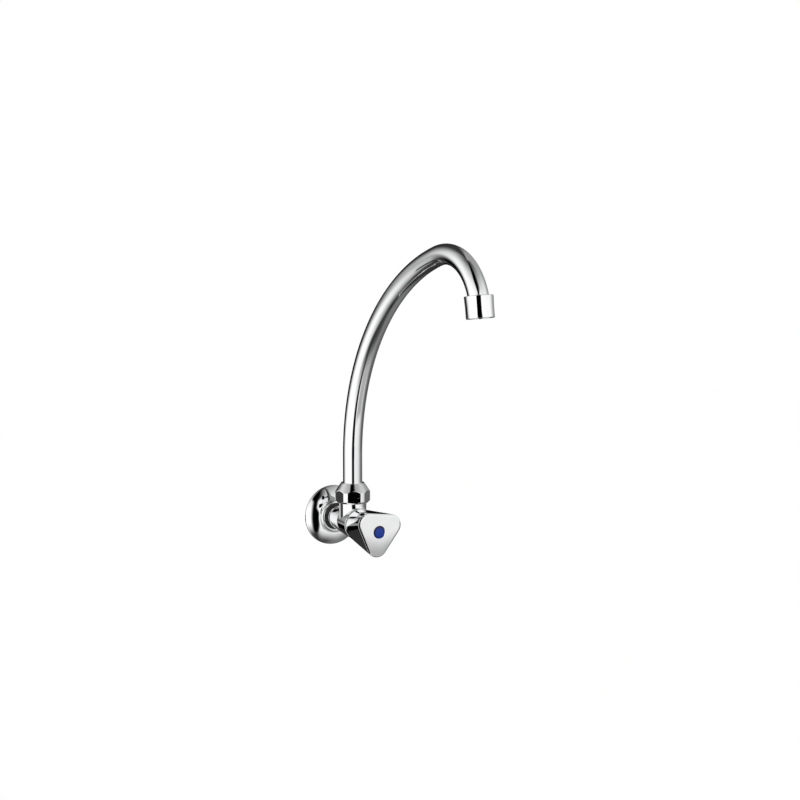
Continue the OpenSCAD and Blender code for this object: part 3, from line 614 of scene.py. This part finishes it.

# %% [markdown]
# ## The index disc
# The blue disc marks cold water and covers the handle's screw. It is a plastic cap that snaps into the
# face: a shallow dome, a rounded edge, a skirt. A flat disc would mirror the studio as one blank patch, so
# the dome is turned from an outline of short steps. It carries no print, only its blue with painted shade
# towards the edge.

# %% Index
DOME_S, DOME_R, DOME_DROP, DOME_STEPS, INDEX_STEPS = 99.5, 4.6, 0.3, 12, 96
SKIRT_IN_R, CAP_UNDER_S = 4.8, 97.6
cap_edge = [(4.9, 99.1), (5.3, 99.05), (INDEX_R, 98.85)]
dome = [(DOME_R * k / DOME_STEPS, DOME_S - DOME_DROP * (k / DOME_STEPS) ** 2) for k in range(1, DOME_STEPS + 1)]
index = turned([(0, DOME_S), *dome, *cap_edge, (INDEX_R, INDEX_SEAT_S), (SKIRT_IN_R, INDEX_SEAT_S),
                (SKIRT_IN_R, CAP_UNDER_S), (0, CAP_UNDER_S)], INDEX_STEPS, closed=False)
piece("index_disc", index, "stem", "blue", ["index_cap"], out_from_wall)

# %% [markdown]
# ## The aerator sleeve
# At the outlet a chromed sleeve screws on the ferrule and holds the insert and its screen. It is 12.1 mm in
# radius at the foot and a little wider at the top, with polished edges. It is turned like the rosette, with
# one very large radius where the straight foot runs into the taper, so that no line shows there.

# %% Aerator
SLEEVE_R, SLEEVE_TOP_R, SLEEVE_H, SLEEVE_STRAIGHT_H = 12.1, 12.45, 19, 9
SLEEVE_FOOT_ROUND, SLEEVE_TAPER_ROUND, SLEEVE_TOP_ROUND = 0.55, 20, 0.5
SLEEVE_THREAD_R, SLEEVE_BORE_R, SLEEVE_HOLE_R, SLEEVE_LIP_H = 11.15, 10.7, 9.8, 1
HOLE_ROUND, THREAD_ROUND = 0.3, 0.2
sleeve = turned(rounded([
    (SLEEVE_HOLE_R, 0, HOLE_ROUND), (SLEEVE_R, 0, SLEEVE_FOOT_ROUND),
    (SLEEVE_R, SLEEVE_STRAIGHT_H, SLEEVE_TAPER_ROUND), (SLEEVE_TOP_R, SLEEVE_H, SLEEVE_TOP_ROUND),
    (SLEEVE_THREAD_R, SLEEVE_H, THREAD_ROUND), (SLEEVE_THREAD_R, SLEEVE_STRAIGHT_H),
    (SLEEVE_BORE_R, SLEEVE_STRAIGHT_H), (SLEEVE_BORE_R, SLEEVE_LIP_H), (SLEEVE_HOLE_R, SLEEVE_LIP_H)]))
piece("aerator_sleeve", sleeve, "spout", "chrome", ["aerator_shell"], at_outlet)

# %% [markdown]
# ## The screen
# Just inside the outlet lies a round piece of stainless wire cloth in a pressed rim. It could be a plate with
# holes, or a picture of a mesh, but in a close view the wires cross over and under each other. Each wire
# is a thin tube, drawn out step by step and then lifted and lowered in a wave. Wires of one direction start
# the wave half a turn after those of the other, so they pass without touching.

# %% Screen
SCREEN_R, SCREEN_FOOT, SCREEN_TOP, RIM_IN_R, SCREEN_ROUND = 10.6, 1, 1.8, 9.7, 0.3
WIRE_R, WIRE_SIDES, WAVE_H, WIRE_PITCH, STEPS_PER_PITCH = 0.16, 6, 0.18, 1.2, 4
WIRE_INTO_RIM, RIM_STEPS, WIRE_SHARP_DEG = 0.3, 96, 60
cloth = turned(rounded([(RIM_IN_R, SCREEN_FOOT, SCREEN_ROUND), (SCREEN_R, SCREEN_FOOT, SCREEN_ROUND),
                        (SCREEN_R, SCREEN_TOP, SCREEN_ROUND), (RIM_IN_R, SCREEN_TOP, SCREEN_ROUND)]), RIM_STEPS)
wires_each_side = int(RIM_IN_R / WIRE_PITCH)
wire_step = WIRE_PITCH / STEPS_PER_PITCH
middle = (SCREEN_FOOT + SCREEN_TOP) / 2


def wire_tube(steps):
    """A straight thin tube along X, this many steps to each side of the middle."""
    wire = bmesh.new()
    start = bmesh.ops.create_circle(wire, segments=WIRE_SIDES, radius=WIRE_R * MM, cap_ends=True,
                                    matrix=shift(-steps * wire_step, 0, 0) @ turn(90, "Y"))["verts"]
    loop = list({e for v in start for e in v.link_edges})
    for _ in range(2 * steps):
        drawn = bmesh.ops.extrude_edge_only(wire, edges=loop)["geom"]
        loop = [e for e in only(bmesh.types.BMEdge, drawn) if len(e.link_faces) == 1]
        bmesh.ops.translate(wire, vec=(wire_step * MM, 0, 0), verts=list({v for e in loop for v in e.verts}))
    bmesh.ops.holes_fill(wire, edges=loop)
    return wire


for across in (0, 1):
    side = 1 - 2 * across
    for row in range(-wires_each_side, wires_each_side + 1):
        half_len = math.sqrt((RIM_IN_R + WIRE_INTO_RIM) ** 2 - (row * WIRE_PITCH) ** 2)
        wire = wire_tube(int(half_len / wire_step))
        for vert in wire.verts:
            wave = math.cos(math.pi * (vert.co.x / (WIRE_PITCH * MM) + row)) * side
            vert.co.z += WAVE_H * MM * wave
        bmesh.ops.recalc_face_normals(wire, faces=wire.faces)
        placed(wire, turn(90 * across, "Z") @ shift(0, row * WIRE_PITCH * side, middle))
        cloth = joined(cloth, wire)
piece("woven_screen", cloth, "spout", "steel", ["aerator_screen"], at_outlet, WIRE_SHARP_DEG)

# %% [markdown]
# ## The studio
# Chrome shows its surroundings, so the light is built as a surrounding: a world whose brightness depends on
# the direction, seen only in reflections. It could be lamps, but they would leave hard small highlights on
# a mirror. All of it is written in two angles instead, how far round and how far up. `by_side` and
# `by_height` each take two angles and the two values that they lead from and to.

# %% Studio helpers
world = bpy.data.worlds.new("studio")
bpy.context.scene.world = world
world.use_nodes = True
studio = world.node_tree


def mixed(share, low, high):
    """Goes from low to high as the share goes from 0 to 1."""
    node = studio.nodes.new("ShaderNodeMix")
    for socket, feed in zip((node.inputs[0], node.inputs[2], node.inputs[3]), (share, low, high)):
        if isinstance(feed, bpy.types.NodeSocket):
            studio.links.new(feed, socket)
        else:
            socket.default_value = feed
    return node.outputs[0]


def times(first, *others):
    """All the values multiplied."""
    for other in others:
        first = math_node(studio, "MULTIPLY", first, other)
    return first


def add_up(first, *others):
    """All the values added."""
    for other in others:
        first = math_node(studio, "ADD", first, other)
    return first


towards = add(studio, "SeparateXYZ", add(studio, "TexCoord").outputs["Generated"]).outputs
round_deg = times(math_node(studio, "ARCTAN2", towards[0], times(towards[1], -1)), math.degrees(1))
up_deg = times(math_node(studio, "ARCSINE", towards[2]), math.degrees(1))


def by_side(from_deg, to_deg, from_value, to_value):
    """A value that changes with how far round one looks."""
    return ramp(studio, round_deg, from_deg, to_deg, from_value, to_value)


def by_height(from_deg, to_deg, from_value, to_value):
    """A value that changes with how far up one looks."""
    return ramp(studio, up_deg, from_deg, to_deg, from_value, to_value)


print("studio:", len(studio.nodes), "nodes so far")

# %% [markdown]
# ## Boxes, room and slot
# Two large soft boxes stand left and right and fade towards the floor and the ceiling. The room between
# their far ends is dim. A dark slot lies between their near ends, about where the camera stands, and it
# draws the dark lines that make metal look like chrome. Real slots are gaps between flat boxes, and here
# two ramps make one with soft edges. What the camera sees directly, and what lights rougher surfaces, is
# plain white.

# %% Studio
SLOT_LEFT_SOFT, SLOT_LIGHT = 8, 0.001
left_box = mixed(by_side(-80, -60, 0, 1), by_height(-87, -23, 0.01, 1), by_height(-58, -22, 0.04, 1))
right_box = add_up(by_height(-74, -30, 0.06, 0.84), by_height(-8, 2, 0, 0.18))
boxes = times(mixed(by_side(-30, 0, 0, 1), left_box, right_box), by_height(2, 90, 1.12, 0.04),
              by_side(5, 24, 1.08, 1))
left_end = by_side(by_height(-8, 10, -156, -180), -110, 0, 1)
right_end = by_side(by_height(-8, 0, 30, 52), by_height(-8, 0, 92, 110), 1, 0)

off_front = math_node(studio, "ABSOLUTE", round_deg)
room_light = add_up(by_height(-12, -3, 0.12, 0.32), by_height(0, 20, 0, 0.05), by_height(-50, -25, 0.08, 0))
room = times(room_light, ramp(studio, off_front, 128, 152, 1, 0), by_height(-88, -72, 0.3, 1))
back_light = add_up(by_height(-26, -21, 0.04, 0), by_height(-6, 8, 0, 0.02), by_height(8, 50, 0, 0.02))
back_glow = times(back_light, ramp(studio, off_front, 142, 156, 0, 1))

slot_left = by_height(24, 46, -36, -54)
slot_right = add_up(by_height(-55, -20, -17, -7), by_height(-6, 12, 0, -11), by_height(24, 42, 0, 17))
slot_right_soft = by_height(24, 42, 6, 22)
slot = times(by_side(add_up(slot_left, -SLOT_LEFT_SOFT), add_up(slot_left, SLOT_LEFT_SOFT), 0, 1),
             by_side(add_up(slot_right, times(slot_right_soft, -1)), add_up(slot_right, slot_right_soft), 1, 0),
             by_height(-62, -40, 0.3, 1))

walls = mixed(times(left_end, right_end), room, boxes)
mirrored = add_up(times(walls, ramp(studio, slot, 0, 1, 1, SLOT_LIGHT)), back_glow)
seen = mixed(add(studio, "LightPath").outputs["Is Glossy Ray"], 1, mirrored)
studio.links.new(seen, studio.nodes["Background"].inputs["Color"])
print("studio:", len(studio.nodes), "nodes")

# %% [markdown]
# ## The floor and the cards
# A white floor far below closes the scene and takes the shadow. A few small cards stand near the tap, as in
# a real product studio. Light from far away can't tell the tip of the spout from the body, but a card close
# by can: a black one near the tip darkens the aerator, a small one darkens a single patch near the handle,
# and grey ones tone down other reflections low on the tap. A card may glow brighter towards its top edge.
# They show up only in mirrors.

# %% Floor and cards
FLOOR_HALF, FLOOR_Z = 4, -0.5
TOP_BAND = 0.03


def flat_stage(name, corners, glow=(0, 0), seen_by_camera=False):
    """A flat sheet of the studio. It glows from one strength to another over the band below its top edge."""
    bm = bmesh.new()
    bm.faces.new([bm.verts.new(corner) for corner in corners])
    mesh = bpy.data.meshes.new(name)
    bm.to_mesh(mesh)
    bm.free()
    sheet = bpy.data.objects.new(name, mesh)
    bpy.context.scene.collection.objects.link(sheet)
    mat = bpy.data.materials.new(name)
    mat.use_nodes = True
    tree = mat.node_tree
    shader = tree.nodes["Principled BSDF"]
    shader.inputs["Specular IOR Level"].default_value = 0
    shader.inputs["Base Color"].default_value = (1, 1, 1, 1) if seen_by_camera else (0, 0, 0, 1)
    if any(glow):
        shader.inputs["Emission Strength"].default_value = 1
        height = add(tree, "SeparateXYZ", add(tree, "TexCoord").outputs["Object"]).outputs[2]
        top = corners[-1][2]
        tree.links.new(ramp(tree, height, top - TOP_BAND, top, *glow), shader.inputs["Emission Color"])
    mesh.materials.append(mat)
    sheet.visible_camera = sheet.visible_diffuse = sheet.visible_shadow = seen_by_camera
    sheet.visible_glossy = not seen_by_camera
    print(f"{name}: glow {glow}")


def upright(left, right, low, high):
    """The corners of an upright card between two places on the ground plan, from one height to another."""
    return [(*left, low), (*right, low), (*right, high), (*left, high)]


floor_corners = [(-FLOOR_HALF, -FLOOR_HALF), (FLOOR_HALF, -FLOOR_HALF),
                 (FLOOR_HALF, FLOOR_HALF), (-FLOOR_HALF, FLOOR_HALF)]
flat_stage("floor", [(*corner, FLOOR_Z) for corner in floor_corners], seen_by_camera=True)
flat_stage("black_card", upright((-0.0527, -0.306), (-0.007, -0.3358), 0.17, 0.26))
flat_stage("small_black_card", upright((-0.062, -0.2), (-0.018, -0.2), 0.036, 0.072))
flat_stage("grey_card", upright((0, -0.40), (0.26, -0.30), -0.25, -0.057), (0.47, 0.93))
flat_stage("dark_card", upright((-0.28, 0.09), (-0.17, 0.19), -0.1, -0.018), (0.05, 0.05))
flat_stage("pale_card", upright((-0.16, 0.2), (0.06, 0.24), -0.055, -0.018), (0.3, 0.3))
